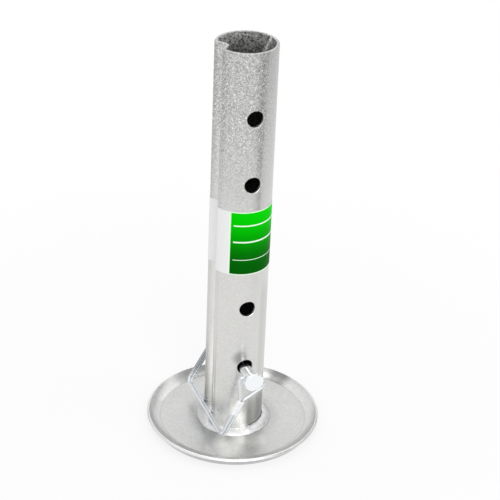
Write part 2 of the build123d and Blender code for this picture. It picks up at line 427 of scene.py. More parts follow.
blotch_group, blotch_in, blotch_out = new_group(
    "zinc_blotch",
    [
        ("Color", "NodeSocketColor", (0.6, 0.6, 0.6, 1.0)),
        ("Roughness", "NodeSocketFloat", 0.3),
        ("Patches per Metre", "NodeSocketFloat", 40.0),
        ("Tone Spread", "NodeSocketFloat", 0.1),
        ("Roughness Spread", "NodeSocketFloat", 0.1),
    ],
    [("Color", "NodeSocketColor"), ("Roughness", "NodeSocketFloat")],
)
patches = blotch_group.nodes.new("ShaderNodeTexNoise")
patches.inputs["Detail"].default_value = patch_detail
patches.inputs["Roughness"].default_value = patch_roughness
blotch_group.links.new(object_place(blotch_group), patches.inputs["Vector"])
blotch_group.links.new(blotch_in["Patches per Metre"], patches.inputs["Scale"])
patch_shift = add_math(blotch_group, "SUBTRACT", patches.outputs["Fac"], noise_middle)
patch_tone = add_math(blotch_group, "MULTIPLY", patch_shift, blotch_in["Tone Spread"])
patch_gain = add_math(blotch_group, "ADD", patch_tone, 1.0)
blotched = scale_color(blotch_group, blotch_in["Color"], patch_gain)
blotch_group.links.new(blotched, blotch_out["Color"])
patch_rough = add_math(blotch_group, "MULTIPLY", patch_shift, blotch_in["Roughness Spread"])
patch_rough = add_math(blotch_group, "ADD", patch_rough, blotch_in["Roughness"], clamp=True)
blotch_group.links.new(patch_rough, blotch_out["Roughness"])
print("group", blotch_group.name)

# %% [markdown]
# A material mixes its colours and numbers by masks, sets the shared groups to its own
# values, and needs a Bump node of its own, because a group may only hand out a height.
# That height could be scaled by eye, but the helper takes its depth in metres, so the
# bump is read at its real size. The last helper puts one finish all over a solid.

# %% Material helpers
# A Mix node has a factor, an A and a B for each kind of value, so they go by number.
number_sockets = (0, 2, 3)
color_sockets = (0, 6, 7)


def add_color_mix(tree, factor, first, second):
    """From the first colour to the second as the factor's socket goes from 0 to 1."""
    node = tree.nodes.new("ShaderNodeMix")
    node.data_type = "RGBA"
    for place, operand in zip(color_sockets, (factor, first, second)):
        if isinstance(operand, tuple):
            node.inputs[place].default_value = operand
        else:
            tree.links.new(operand, node.inputs[place])
    return node.outputs[2]


def add_float_mix(tree, factor, first, second):
    """From the first number to the second as the factor goes from 0 to 1, all sockets."""
    node = tree.nodes.new("ShaderNodeMix")
    for place, operand in zip(number_sockets, (factor, first, second)):
        tree.links.new(operand, node.inputs[place])
    return node.outputs[0]


def place_group(tree, group, **values):
    """Puts a group in a material; underscores in a value's name stand for spaces."""
    node = tree.nodes.new("ShaderNodeGroup")
    node.node_tree = group
    for name, value in values.items():
        socket = node.inputs[name.replace("_", " ")]
        if isinstance(value, bpy.types.NodeSocket):
            tree.links.new(value, socket)
        else:
            socket.default_value = value
    return node.outputs


def add_bump(tree, shader, height, metres):
    """Feeds the shader's Normal from a height socket, at a real depth in metres."""
    bump = tree.nodes.new("ShaderNodeBump")
    bump.inputs["Distance"].default_value = metres
    tree.links.new(height, bump.inputs["Height"])
    tree.links.new(bump.outputs[0], shader.inputs["Normal"])


def dress(node_name, material):
    """Gives a solid of the frame one finish all over."""
    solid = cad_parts[node_name]
    solid.data.materials.clear()
    solid.data.materials.append(material)
    print(node_name, "wears", material.name)


print("material helpers ready")

# %% [markdown]
# The tube's coat is coarse and sparkling near the top and settles to a smooth satin
# towards the foot, where it turns slightly warm from the heat of welding. One side of
# it is smoother along its whole length. Separate materials would show seams, so one
# material fades by height and by the angle round the tube.

# %% Tube material
tube_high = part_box("leg_tube")[1]
tube_radius = tube_high.y
tube_tint_top = (0.53, 0.53, 0.52, 1.0)
tube_tint_foot = (0.70, 0.695, 0.68, 1.0)
tint_turns_from = 0.345
tint_turns_to = 0.120
grain_fades_from = 0.320
grain_fades_to = 0.190
grain_left_low = 0.14
smooth_side_angle = radians(-35.0)
smooth_side_full = radians(28.0)
smooth_side_end = radians(42.0)
smooth_side_grain = 0.35

tube_material, tube_tree, tube_shader = start_material("galvanised_tube")
tube_place = object_place(tube_tree)
tube_axes = split_axes(tube_tree, tube_place)
tube_x = tube_axes["X"]
tube_y = tube_axes["Y"]
tube_z = tube_axes["Z"]
grain_amount = add_ramp(tube_tree, tube_z, grain_fades_to, grain_fades_from, grain_left_low, 1.0)
tube_angle = add_math(tube_tree, "ARCTAN2", tube_y, tube_x)
from_smooth = add_distance(tube_tree, tube_angle, smooth_side_angle)
side_grain = add_ramp(tube_tree, from_smooth, smooth_side_full, smooth_side_end, smooth_side_grain, 1.0)
grain_amount = add_math(tube_tree, "MULTIPLY", grain_amount, side_grain)
top_share = add_ramp(tube_tree, tube_z, tint_turns_to, tint_turns_from)
tube_base = add_color_mix(tube_tree, top_share, tube_tint_foot, tube_tint_top)
print("tube of radius", round(tube_radius, 5), "and height", round(tube_high.z, 5))

# %% [markdown]
# The floor of the key groove is painted brighter, as a painted highlight, and a dark line
# of painted shade runs beside each lip. Both grow stronger at the foot. Painted vertices
# could hold them, but the tube has few between its ends. The marks follow the angle round
# the tube and the distance from its axis, so two masks give them.

# %% Painted highlight and shade of the key groove
lip_shade_angle = radians(28.5)
lip_shade_half_width = radians(4.0)
lip_shade_gain = 0.93
groove_deep = 0.0195
groove_shallow = 0.0250
groove_highlight_gain = 1.08
lip_edge_shade_gain = 0.90
painted_light_foot_from = 0.105
painted_light_foot_full = 0.045
painted_light_growth = 3.2

# Painted highlight on the groove's floor, painted shade along its lips and beside them.
across = add_math(tube_tree, "MULTIPLY", tube_x, -1.0)
groove_angle = add_math(tube_tree, "ARCTAN2", add_math(tube_tree, "ABSOLUTE", tube_y), across)
from_lip_shade = add_distance(tube_tree, groove_angle, lip_shade_angle)
lip_painted_shade = add_ramp(tube_tree, from_lip_shade, 0.0, lip_shade_half_width, lip_shade_gain, 1.0)
from_axis = add_length(tube_tree, tube_x, tube_y)
painted_light_foot_share = add_ramp(tube_tree, tube_z, painted_light_foot_full, painted_light_foot_from, 1.0, 0.0)
groove_highlight_and_shade = add_ramp(tube_tree, from_axis, groove_deep, groove_shallow, groove_highlight_gain, lip_edge_shade_gain)
beside_groove = add_math(tube_tree, "GREATER_THAN", groove_angle, lip_shade_angle - lip_shade_half_width)
groove_light_gain = add_float_mix(tube_tree, beside_groove, groove_highlight_and_shade, lip_painted_shade)
groove_light_shift = add_math(tube_tree, "SUBTRACT", groove_light_gain, 1.0)
groove_light_growth = add_math(tube_tree, "MULTIPLY", painted_light_foot_share, painted_light_growth)
groove_light_growth = add_math(tube_tree, "ADD", groove_light_growth, 1.0)
painted_light_tone = add_math(tube_tree, "MULTIPLY", groove_light_shift, groove_light_growth)
painted_light_tone = add_math(tube_tree, "ADD", painted_light_tone, 1.0)
print("groove marks at", round(degrees(lip_shade_angle), 1), "degrees either side")

# %% [markdown]
# Paler patches of painted reflection and darker patches of painted shade reach up the tube
# from its foot, and a dark patch of painted shade sits beside the top of the lowest hole.
# They could be stains in an image, but an image needs a flat layout of the tube. Each patch
# is a span of angles that fades out at a height, and the patch by the hole fades with the
# distance from one spot, so neither needs that.

# %% Painted reflection and shade low on the tube
hole_shade_angle = radians(-102.0)
hole_shade_height = 0.0785
hole_shade_inner = 0.0025
hole_shade_outer = 0.0085
hole_shade_shift = -0.36
painted_light_patch_blend = radians(7.0)
# Each row: angle from, angle to, height in full, height at the end, shift of tone.
painted_light_patch_rows = [
    (radians(-164.0), radians(-118.0), 0.0160, 0.0260, 0.34),
    (radians(-126.0), radians(-98.0), 0.0280, 0.0420, -0.18),
    (radians(-99.0), radians(-81.0), 0.0170, 0.0270, 0.40),
    (radians(-85.0), radians(-12.0), 0.0320, 0.0520, -0.18),
    (radians(-64.0), radians(20.0), 0.1350, 0.1550, -0.12),
]


def painted_light_patch(angle_from, angle_to, full_height, end_height, shift):
    """A soft patch between two angles, from the foot up to a height, as a shift of tone: painted
    reflection where it is positive, painted shade where it is negative.
    """
    begins = add_ramp(tube_tree, tube_angle, angle_from, angle_from + painted_light_patch_blend)
    ends = add_ramp(tube_tree, tube_angle, angle_to - painted_light_patch_blend, angle_to, 1.0, 0.0)
    low_down = add_ramp(tube_tree, tube_z, full_height, end_height, shift, 0.0)
    return add_math(tube_tree, "MULTIPLY", add_math(tube_tree, "MULTIPLY", begins, ends), low_down)


# Each patch paints reflection where its shift is positive and shade where it is negative.
for painted_light_patch_row in painted_light_patch_rows:
    painted_light_tone = add_math(tube_tree, "ADD", painted_light_tone, painted_light_patch(*painted_light_patch_row))
# A dark patch of painted shade beside the top of the lowest hole.
hole_shade_across = add_math(tube_tree, "SUBTRACT", tube_angle, hole_shade_angle)
hole_shade_across = add_math(tube_tree, "MULTIPLY", hole_shade_across, tube_radius)
hole_shade_up = add_math(tube_tree, "SUBTRACT", tube_z, hole_shade_height)
hole_shade_distance = add_length(tube_tree, hole_shade_across, hole_shade_up)
hole_shade_tone = add_ramp(tube_tree, hole_shade_distance, hole_shade_inner, hole_shade_outer, hole_shade_shift, 0.0)
painted_light_tone = add_math(tube_tree, "ADD", painted_light_tone, hole_shade_tone)
tint_with_painted_light = scale_color(tube_tree, tube_base, painted_light_tone)
print(len(painted_light_patch_rows), "patches at the foot and one smear")

# %% [markdown]
# Over the tint with its painted light and shade goes the zinc itself: the grain first,
# then the slow blotches, which take the grain's colour and roughness and pass them on. One
# group could do both, but the bright plated parts need the blotches alone.

# %% Coat of the tube
tube_grain = place_group(
    tube_tree,
    grain_group,
    Tint=tint_with_painted_light,
    Amount=grain_amount,
    Cells_per_Metre=1000.0,
    Contrast=0.62,
    Sparkle=0.45,
    Roughness=0.30,
    Roughness_Spread=0.16,
)
tube_blotch = place_group(
    tube_tree,
    blotch_group,
    Color=tube_grain["Color"],
    Roughness=tube_grain["Roughness"],
    Patches_per_Metre=26.0,
    Tone_Spread=0.10,
    Roughness_Spread=0.14,
)
print("tube's coat set")

# %% [markdown]
# The bore's coat is coarse and dull. Below its mouth its tint falls almost to black, as
# painted shade, and at the mouth a scrape runs aslant down the wall as a paler streak. Its
# faces could be picked by hand for a second material, but a change to the tube would lose
# them. Its normal points at the tube's axis, so one mask tells it apart.

# %% Bore of the tube
bore_tint_mouth = (0.30, 0.30, 0.295, 1.0)
bore_painted_shade_tint = (0.035, 0.035, 0.035, 1.0)
bore_lit_from = 0.356
bore_lit_to = 0.326
scrape_angle = radians(12.0)
scrape_turn_all = radians(24.0)
scrape_drop_all = 0.018
scrape_half_width = radians(7.0)
scrape_gain = 3.2
facing_in = -0.010
facing_out = -0.002
tube_grain_depth = 0.00018

tube_normal = tube_tree.nodes.new("ShaderNodeTexCoord").outputs["Normal"]
outward = tube_tree.nodes.new("ShaderNodeVectorMath")
outward.operation = "MULTIPLY"
tube_tree.links.new(tube_place, outward.inputs[0])
outward.inputs[1].default_value = (1.0, 1.0, 0.0)
facing = tube_tree.nodes.new("ShaderNodeVectorMath")
facing.operation = "DOT_PRODUCT"
tube_tree.links.new(outward.outputs[0], facing.inputs[0])
tube_tree.links.new(tube_normal, facing.inputs[1])
in_bore = add_ramp(tube_tree, facing.outputs["Value"], facing_in, facing_out, 1.0, 0.0)
# Below the mouth the tint falls to near black, as painted shade.
mouth_share = add_ramp(tube_tree, tube_z, bore_lit_to, bore_lit_from)
bore_shaded_tint = add_color_mix(tube_tree, mouth_share, bore_painted_shade_tint, bore_tint_mouth)
below_mouth = add_math(tube_tree, "SUBTRACT", tube_high.z, tube_z)
scrape_turn = add_math(tube_tree, "MULTIPLY", below_mouth, scrape_turn_all / scrape_drop_all)
scrape_course = add_math(tube_tree, "ADD", scrape_turn, scrape_angle)
scrape_distance = add_distance(tube_tree, tube_angle, scrape_course)
scrape_tone = add_ramp(tube_tree, scrape_distance, 0.0, scrape_half_width, scrape_gain, 1.0)
bore_grain = place_group(
    tube_tree,
    grain_group,
    Tint=scale_color(tube_tree, bore_shaded_tint, scrape_tone),
    Amount=1.0,
    Cells_per_Metre=800.0,
    Contrast=1.6,
    Sparkle=0.9,
    Roughness=0.75,
    Roughness_Spread=0.2,
)
tube_color = add_color_mix(tube_tree, in_bore, tube_blotch["Color"], bore_grain["Color"])
tube_rough = add_float_mix(tube_tree, in_bore, tube_blotch["Roughness"], bore_grain["Roughness"])
tube_metal = add_math(tube_tree, "SUBTRACT", 1.0, in_bore)
tube_tree.links.new(tube_color, tube_shader.inputs["Base Color"])
tube_tree.links.new(tube_rough, tube_shader.inputs["Roughness"])
tube_tree.links.new(tube_metal, tube_shader.inputs["Metallic"])
add_bump(tube_tree, tube_shader, tube_grain["Height"], tube_grain_depth)
dress("leg_tube", tube_material)

# %% [markdown]
# Plate and weld are both rings of points swept round the leg, so they share one helper.
# Blender's Screw modifier could turn a fixed outline, but the weld's outline changes on
# the way round. The helper therefore asks for the outline afresh at every angle, skins
# neighbouring outlines with faces, and closes the middle where an outline meets the axis.

# %% Ring helper
merge_distance = 0.000001


def skin_rings(name, outline_at, steps_round):
    """A closed smooth mesh from a closed outline of (radius, height) at each angle."""
    shape = bmesh.new()
    rings = []
    for step in range(steps_round):
        angle = tau * step / steps_round
        rings.append([
            shape.verts.new((radius * cos(angle), radius * sin(angle), height))
            for radius, height in outline_at(angle)
        ])
    for this_ring, next_ring in zip(rings, rings[1:] + rings[:1]):
        for corner in range(len(this_ring)):
            before = corner - 1
            shape.faces.new((this_ring[before], next_ring[before], next_ring[corner], this_ring[corner]))
    bmesh.ops.remove_doubles(shape, verts=shape.verts, dist=merge_distance)
    bmesh.ops.recalc_face_normals(shape, faces=shape.faces)
    mesh = bpy.data.meshes.new(name)
    shape.to_mesh(mesh)
    shape.free()
    for face in mesh.polygons:
        face.use_smooth = True
    piece = bpy.data.objects.new(name, mesh)
    scene.collection.objects.link(piece)
    return piece


print("ring helper ready")

# %% [markdown]
# The press leaves a sharp crease where the plate's floor turns up, and the rim curls on
# from there to its cut edge. The frame's plate has one even bend. The real outline
# could be typed in point by point, but a walk along the sheet, once for its upper face
# and once for its underside, keeps it smooth: each bend is an arc that carries on from
# the last point and heading.

# %% Walk along the sheet
sheet_thickness = 0.0035
floor_ring_radius = 0.030
crease_start = 0.0632
crease_radius = 0.0022
crease_turn = radians(14.0)
crease_steps = 5
rim_curl_radius = 0.02127
rim_curl_turn = radians(31.7)
rim_curl_steps = 12
under_bend_start = 0.0690
under_bend_radius = 0.0016
under_bend_turn = radians(53.0)
under_bend_steps = 8


def bend(points, heading, radius, turn, steps):
    """Adds an arc to a walk of (radius, height, heading) and returns the new heading."""
    x, z = points[-1][:2]
    for step in range(1, steps + 1):
        now = heading + turn * step / steps
        points.append((
            x + radius * (sin(now) - sin(heading)),
            z + radius * (cos(heading) - cos(now)),
            now,
        ))
    return heading + turn


sheet_top = [(radius, sheet_thickness, 0.0) for radius in (0.0, floor_ring_radius, crease_start)]
past_crease = bend(sheet_top, 0.0, crease_radius, crease_turn, crease_steps)
bend(sheet_top, past_crease, rim_curl_radius, rim_curl_turn, rim_curl_steps)
edge_x, edge_z, edge_way = sheet_top[-1]
sheet_under = [(radius, 0.0, 0.0) for radius in (0.0, floor_ring_radius, under_bend_start)]
bend(sheet_under, 0.0, under_bend_radius, under_bend_turn, under_bend_steps)
print("rim's inner lip at", round(edge_x, 5), round(edge_z, 5))

# %% [markdown]
# The rim ends in a cut edge, square to the sheet, with its two corners just broken. A
# bevel could break them afterwards, but the outline can hold them from the start: each
# corner is a quarter turn from the face before it to the face after it. The two corners
# join the two walks into one outline, which is turned about the axis.

# %% Pressed foot plate
plate_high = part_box("foot_plate")[1]
edge_width = 0.0026
edge_round = 0.0006
edge_steps = 4
plate_steps_round = 256


def plate_outline(angle):
    """The plate's half section; it is the same at every angle."""
    upper = [point[:2] for point in sheet_top[:-1]]
    lower = [point[:2] for point in sheet_under]
    along = Vector((cos(edge_way), sin(edge_way)))
    across_sheet = Vector((sin(edge_way), -cos(edge_way)))
    inner = Vector((edge_x, edge_z))
    outer = inner + edge_width * across_sheet
    edge = []
    for corner, first, second in ((inner, -along, across_sheet), (outer, -across_sheet, -along)):
        for step in range(edge_steps + 1):
            quarter = pi / 2 * step / edge_steps
            edge.append(
                corner + edge_round * (first * (1 - sin(quarter)) + second * (1 - cos(quarter)))
            )
    rounded = [(min(point.x, plate_high.x), point.y) for point in edge]
    return upper + rounded + lower[::-1]


pressed_plate = skin_rings("pressed_foot_plate", plate_outline, plate_steps_round)
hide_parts("foot_plate")
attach(pressed_plate, "leg")
print("plate of", len(pressed_plate.data.polygons), "faces")

# %% [markdown]
# The plate has the tube's coat, smoother and evenly satin. The crease carries a dark line
# of painted shade, the cut edge a painted highlight, and a ring round the tube is painted
# darker as shade, with two paler spots of painted reflection of the tube beside it. Where
# the wall beyond the tube mirrors the tube, it is painted darker in two places and paler in
# one. Painted vertices would need a finer mesh. Radius, angle and height find all of these
# marks, so masks in one material do it.

# %% Painted light and shade on the plate
plate_tint = (0.635, 0.64, 0.63, 1.0)
crease_shade_gain = 0.86
crease_shade_width = 0.0011
crease_shade_offset = 0.0006
wall_start = crease_start + crease_shade_width
wall_gain = 1.08
edge_blend_from = 0.0007
edge_blend_to = 0.0003
ring_shade_full_radius = 0.0335
ring_shade_end_radius = 0.0440
ring_shade_gain = 0.86
# Each row: angle, half width in full, half width at the end, shift of tone.
wall_reflection_rows = [
    (radians(94.0), radians(12.0), radians(30.0), -0.54),
    (radians(33.0), radians(3.0), radians(13.0), -0.58),
    (radians(132.0), radians(6.0), radians(18.0), 0.18),
]
# Each row: x, y, radius in full, radius at the end, gain of tone.
tube_reflection_rows = [
    (-0.0270, -0.0460, 0.0050, 0.0170, 1.42),
    (0.0045, -0.0410, 0.0040, 0.0150, 1.28),
]

plate_material, plate_tree, plate_shader = start_material("zinc_plate")
plate_place = object_place(plate_tree)
plate_axes = split_axes(plate_tree, plate_place)
plate_x = plate_axes["X"]
plate_y = plate_axes["Y"]
plate_z = plate_axes["Z"]
plate_radius = add_length(plate_tree, plate_x, plate_y)
# A dark line of painted shade along the crease.
from_crease_shade = add_distance(plate_tree, plate_radius, crease_start + crease_shade_offset)
crease_painted_shade = add_ramp(plate_tree, from_crease_shade, 0.0, crease_shade_width, crease_shade_gain, 1.0)
wall_tone = add_ramp(plate_tree, plate_radius, crease_start, wall_start, 1.0, wall_gain)
# A darker ring of painted shade round the tube's foot.
ring_painted_shade = add_ramp(plate_tree, plate_radius, ring_shade_full_radius, ring_shade_end_radius, ring_shade_gain, 1.0)
plate_gain = add_math(plate_tree, "MULTIPLY", crease_painted_shade, wall_tone)
plate_gain = add_math(plate_tree, "MULTIPLY", plate_gain, ring_painted_shade)
plate_angle = add_math(plate_tree, "ARCTAN2", plate_y, plate_x)
on_wall = add_ramp(plate_tree, plate_radius, crease_start, wall_start)
# Where the wall mirrors the tube it gets painted reflection, darker in two places, paler in one.
for mirrored_angle, mirrored_full, mirrored_end, mirrored_shift in wall_reflection_rows:
    from_mirrored = add_distance(plate_tree, plate_angle, mirrored_angle)
    mirrored_tone = add_ramp(plate_tree, from_mirrored, mirrored_full, mirrored_end, mirrored_shift, 0.0)
    mirrored_tone = add_math(plate_tree, "MULTIPLY", mirrored_tone, on_wall)
    mirrored_tone = add_math(plate_tree, "ADD", mirrored_tone, 1.0)
    plate_gain = add_math(plate_tree, "MULTIPLY", plate_gain, mirrored_tone)
# Two paler spots of painted reflection of the tube on the floor in front of it.
for reflection_x, reflection_y, reflection_inner, reflection_outer, reflection_gain in tube_reflection_rows:
    reflection_distance = add_length(
        plate_tree,
        add_math(plate_tree, "SUBTRACT", plate_x, reflection_x),
        add_math(plate_tree, "SUBTRACT", plate_y, reflection_y),
    )
    reflection_tone = add_ramp(plate_tree, reflection_distance, reflection_inner, reflection_outer, reflection_gain, 1.0)
    plate_gain = add_math(plate_tree, "MULTIPLY", plate_gain, reflection_tone)
sheet_along = add_math(
    plate_tree,
    "ADD",
    add_math(plate_tree, "MULTIPLY", plate_radius, cos(edge_way)),
    add_math(plate_tree, "MULTIPLY", plate_z, sin(edge_way)),
)
edge_along = edge_x * cos(edge_way) + edge_z * sin(edge_way)
on_edge = add_ramp(
    plate_tree, sheet_along, edge_along - edge_blend_from, edge_along - edge_blend_to
)
print(len(wall_reflection_rows), "blots on the wall,", len(tube_reflection_rows), "rubbed spots on the floor")

# %% [markdown]
# The cut edge's painted highlight and the underside's painted shade are tints of their own,
# laid over the marked one. The shared groups come next, with a weaker grain than the
# tube's. The press also left shallow dents about two centimetres apart. They could be
# modelled, but at half a millimetre they only bend the reflections, so a slow bump is enough.

# %% Coat of the plate
edge_highlight_tint = (0.84, 0.84, 0.835, 1.0)
underside_shade_tint = (0.50, 0.50, 0.50, 1.0)
outside_slope = -0.25
dents_per_metre = 55.0
dent_depth = 0.0006
plate_grain_depth = 0.00012

plate_normal = plate_tree.nodes.new("ShaderNodeTexCoord").outputs["Normal"]
facing_up = split_axes(plate_tree, plate_normal)["Z"]
outside = add_ramp(plate_tree, facing_up, outside_slope, 0.0, 1.0, 0.0)
plate_toned = scale_color(plate_tree, plate_tint, plate_gain)
# The cut edge gets a painted highlight.
plate_base = add_color_mix(plate_tree, on_edge, plate_toned, edge_highlight_tint)
# The underside gets painted shade.
plate_base = add_color_mix(plate_tree, outside, plate_base, underside_shade_tint)
plate_grain = place_group(
    plate_tree,
    grain_group,
    Tint=plate_base,
    Amount=0.35,
    Cells_per_Metre=620.0,
    Contrast=0.3,
    Roughness=0.32,
    Roughness_Spread=0.1,
)
plate_blotch = place_group(
    plate_tree,
    blotch_group,
    Color=plate_grain["Color"],
    Roughness=plate_grain["Roughness"],
    Patches_per_Metre=30.0,
    Tone_Spread=0.16,
    Roughness_Spread=0.2,
)
dents = plate_tree.nodes.new("ShaderNodeTexNoise")
dents.inputs["Scale"].default_value = dents_per_metre
plate_tree.links.new(plate_place, dents.inputs["Vector"])
plate_tree.links.new(plate_blotch["Color"], plate_shader.inputs["Base Color"])
plate_tree.links.new(plate_blotch["Roughness"], plate_shader.inputs["Roughness"])
plate_shader.inputs["Metallic"].default_value = 1.0
plate_height = add_math(
    plate_tree,
    "ADD",
    add_math(plate_tree, "MULTIPLY", dents.outputs["Fac"], dent_depth),
    add_math(plate_tree, "MULTIPLY", plate_grain["Height"], plate_grain_depth),
)
add_bump(plate_tree, plate_shader, plate_height, 1.0)
pressed_plate.data.materials.append(plate_material)
print(pressed_plate.name, "wears", plate_material.name)

# %% [markdown]
# Pin, bail and sleeve are plated, not dipped: bright, hard reflections with a cool
# tint, and almost no grain. The blotch group alone is enough for them. The bail's arm
# on the tip's side is painted darker above its corner, as painted shade. A second material
# would stop at an edge there, so the tint fades by place instead.

# %% Bright plated parts
wire_tint = (0.74, 0.765, 0.795, 1.0)
wire_painted_shade_tint = (0.40, 0.42, 0.45, 1.0)
head_tint = (0.93, 0.95, 0.97, 1.0)
sleeve_tint = (0.96, 0.97, 0.98, 1.0)
shade_from = 0.030
shade_to = 0.038
shade_above_from = 0.020
shade_above_to = 0.034


def plated_material(name, tint, far_shade_tint, roughness, tone_spread):
    """Bright zinc plating with faint handling marks, and a tint of painted shade for its far upper side.
    """
    material, tree, shader = start_material(name)
    axes = split_axes(tree, object_place(tree))
    # The far upper side of the bail's arm takes painted shade.
    far_shade_share = add_ramp(tree, axes["Y"], shade_from, shade_to)
    high_share = add_ramp(tree, axes["Z"], shade_above_from, shade_above_to)
    far_shade_share = add_math(tree, "MULTIPLY", far_shade_share, high_share)
    blotch = place_group(
        tree,
        blotch_group,
        Color=add_color_mix(tree, far_shade_share, tint, far_shade_tint),
        Roughness=roughness,
        Patches_per_Metre=260.0,
        Tone_Spread=tone_spread,
        Roughness_Spread=0.14,
    )
    tree.links.new(blotch["Color"], shader.inputs["Base Color"])
    tree.links.new(blotch["Roughness"], shader.inputs["Roughness"])
    shader.inputs["Metallic"].default_value = 1.0
    return material


plating_rows = [
    ("lock_pin", "pin_plating", head_tint, head_tint, 0.20, 0.06),
    ("bail_wire", "wire_plating", wire_tint, wire_painted_shade_tint, 0.11, 0.14),
    ("wire_sleeve", "sleeve_plating", sleeve_tint, sleeve_tint, 0.34, 0.04),
]
for plated_node, *plating in plating_rows:
    dress(plated_node, plated_material(*plating))

# %% [markdown]
# The label is a printed film with a panel that wraps round much of the tube. The print
# could be separate meshes laid on the film, but ink has no thickness, so masks in one
# material place it. Each mask asks how far a point lies from the panel's middle, as an
# angle round the tube, and how high it is.

# %% Panel of the label
label_low, label_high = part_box("label_film")
label_bottom = label_low.z
label_top = label_high.z
panel_edge_angle = radians(-131.6)
panel_span = radians(235.0)
print_margin = 0.0009
edge_softness = 0.004

label_material, label_tree, label_shader = start_material("label_print")
label_place = object_place(label_tree)
label_z = split_axes(label_tree, label_place)["Z"]
panel_turn = label_tree.nodes.new("ShaderNodeVectorRotate")
panel_turn.rotation_type = "Z_AXIS"
panel_middle = panel_edge_angle + panel_span / 2
panel_turn.inputs["Angle"].default_value = -panel_middle
label_tree.links.new(label_place, panel_turn.inputs["Vector"])
turned = split_axes(label_tree, panel_turn.outputs[0])
from_middle = add_math(label_tree, "ARCTAN2", turned["Y"], turned["X"])
from_middle = add_math(label_tree, "ABSOLUTE", from_middle)


def inside_panel(angle_inset, height_inset):
    """A mask that is 1 within the panel, drawn in by an angle and a height."""
    side = add_ramp(
        label_tree,
        from_middle,
        panel_span / 2 - angle_inset - edge_softness,
        panel_span / 2 - angle_inset + edge_softness,
        1.0,
        0.0,
    )
    low_edge = label_bottom + height_inset
    high_edge = label_top - height_inset
    above = add_math(label_tree, "GREATER_THAN", label_z, low_edge)
    below = add_math(label_tree, "LESS_THAN", label_z, high_edge)
    return add_math(label_tree, "MULTIPLY", add_math(label_tree, "MULTIPLY", side, above), below)


print("label from", round(label_bottom, 4), "to", round(label_top, 4))

# %% [markdown]
# The panel is green and darkens downwards. A thin pale line runs round it, three plain
# thin rules cross it, and the film beside it is white. The fade could be a colour ramp
# with many stops, but one power of the height bends it enough.

# %% Print of the label
green_top = (0.0, 0.64, 0.0, 1.0)
green_bottom = (0.0, 0.105, 0.001, 1.0)
film_white = (0.86, 0.86, 0.865, 1.0)
line_pale = (0.80, 0.97, 0.78, 1.0)
line_width = 0.0017
rule_inset = radians(9.0)
rule_rows = [(0.0455, 0.0012), (0.0305, 0.0014), (0.0140, 0.0006)]
green_fade_power = 1.5
film_roughness = 0.4
film_specular = 0.02

height_share = add_ramp(label_tree, label_z, label_bottom, label_top)
height_share = add_math(label_tree, "POWER", height_share, green_fade_power)
green = add_color_mix(label_tree, height_share, green_bottom, green_top)
outer_mask = inside_panel(0.0, 0.0)
inner_mask = inside_panel(line_width / label_high.y, print_margin)
rule_mask = inside_panel(rule_inset, print_margin)
printed = add_color_mix(label_tree, outer_mask, film_white, line_pale)
printed = add_color_mix(label_tree, inner_mask, printed, green)
for rule_height, rule_width in rule_rows:
    rule_middle = label_bottom + rule_height
    above_rule = add_math(label_tree, "GREATER_THAN", label_z, rule_middle - rule_width / 2)
    below_rule = add_math(label_tree, "LESS_THAN", label_z, rule_middle + rule_width / 2)
    on_rule = add_math(label_tree, "MULTIPLY", above_rule, below_rule)
    on_rule = add_math(label_tree, "MULTIPLY", on_rule, rule_mask)
    printed = add_color_mix(label_tree, on_rule, printed, line_pale)
label_tree.links.new(printed, label_shader.inputs["Base Color"])
label_shader.inputs["Roughness"].default_value = film_roughness
label_shader.inputs["Specular IOR Level"].default_value = film_specular
dress("label_film", label_material)

# %% [markdown]
# The weld is laid by hand in short runs. Each run sits a little higher or reaches further
# than the next, and the bead is pinched where a run starts. The runs could be separate
# meshes, but they melted into one another, so one table gives them all, and a function
# reads it at any angle and blends one run into the next.

# %% Weld runs
start_half_width = radians(2.0)
# Each run has an angle where it starts, a rise, an extra reach and a cut at its start.
run_rows = [
    (radians(-167), 0.0044, 0.0004, 0.0003),
    (radians(-124), 0.0031, 0.0017, 0.0002),
    (radians(-80), 0.0038, 0.0015, 0.0010),
    (radians(13), 0.0050, 0.0, 0.0008),
    (radians(103), 0.0048, 0.0, 0.0008),
]


def smooth_step(share):
    """0 below 0, 1 above 1, and an even S between."""
    held = min(1.0, max(0.0, share))
    return held * held * (3 - 2 * held)


def run_at(angle):
    """The bead's rise and extra reach at an angle, and how deep a start cuts in there."""
    # A run that starts right here is turned by pi, and the one passed last comes next.
    rows = sorted(
        ((angle - start + pi) % tau, rise, reach, cut) for start, rise, reach, cut in run_rows
    )
    passed = [row for row in rows if row[0] >= pi - start_half_width]
    turned, rise, reach, cut = passed[0]
    past = turned - pi
    _, earlier_rise, earlier_reach, _ = (passed[1:] + rows)[0]
    share = smooth_step(0.5 + past / (2 * start_half_width))
    closeness = 1 - smooth_step(abs(past) / start_half_width)
    return (
        earlier_rise + (rise - earlier_rise) * share,
        earlier_reach + (reach - earlier_reach) * share,
        cut * closeness,
    )


print(len(run_rows), "runs, the first from", round(degrees(run_rows[0][0])), "degrees")

# %% [markdown]
# The bead's face is a row of overlapping ripples, and it fills the foot of the key groove
# higher up. The frame's smooth bead says where it stands and how far it reaches.
# Displacing that bead could ripple it, but not move its edges run by run, so it is built
# as rings of points round the tube: a ray cast from outside finds the tube's surface at
# each angle, and the section from there to the toe bulges and ripples.

# %% Weld bead
bead_low, bead_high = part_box("weld_bead")
bead_reach = bead_high.x
bead_floor = bead_low.z
groove_rise = 0.0150
groove_depth = 0.0077
toe_gap = 0.0005
tube_overlap = 0.00002
bead_bulge = 0.0008
bead_lump = 0.0002
lumps_round = 13
lump_beats_round = 7
lump_beat_start = 1.0
ripple_depth = 0.00012
ripple_pitch = 0.0030
ripple_sweep = 1.1
steps_round = 720
steps_up = 14
ray_start = 0.05
ray_height = 0.020

